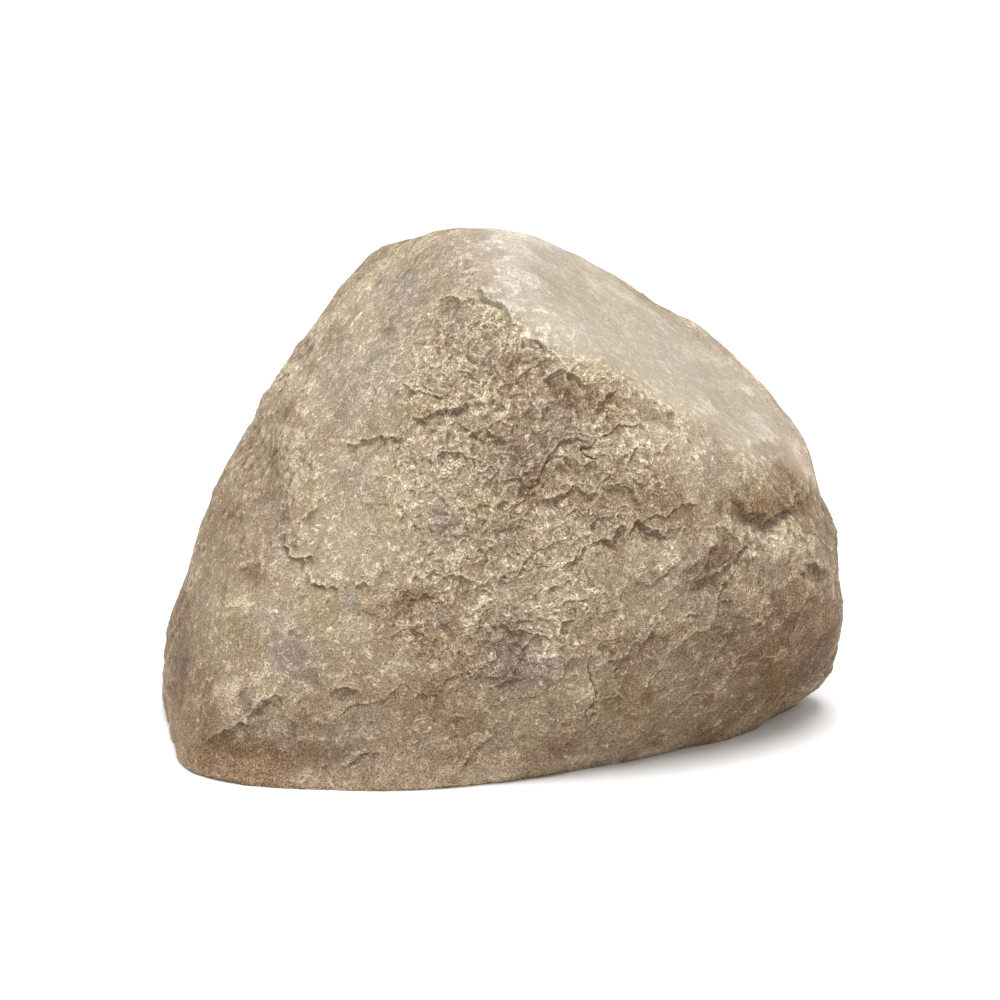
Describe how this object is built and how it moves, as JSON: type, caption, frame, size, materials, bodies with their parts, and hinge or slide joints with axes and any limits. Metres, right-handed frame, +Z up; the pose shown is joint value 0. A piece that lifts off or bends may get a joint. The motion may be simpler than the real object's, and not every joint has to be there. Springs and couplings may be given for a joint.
{
  "type": "boulder",
  "caption": "Weathered sandstone boulder with a smooth sloping top, crumbly ledged front and a flat base to stand on.",
  "frame": {"origin": "middle of the bounding box at ground level, on the flat base", "axes": "+X to the right as the crumbly front is faced, -Y out of the front, +Z up"},
  "size_m": [0.8178, 0.6603, 0.5944],
  "materials": {
    "stone": "matte"
  },
  "bodies": {
    "root": {"boulder": "stone"}
  },
  "joints": []
}
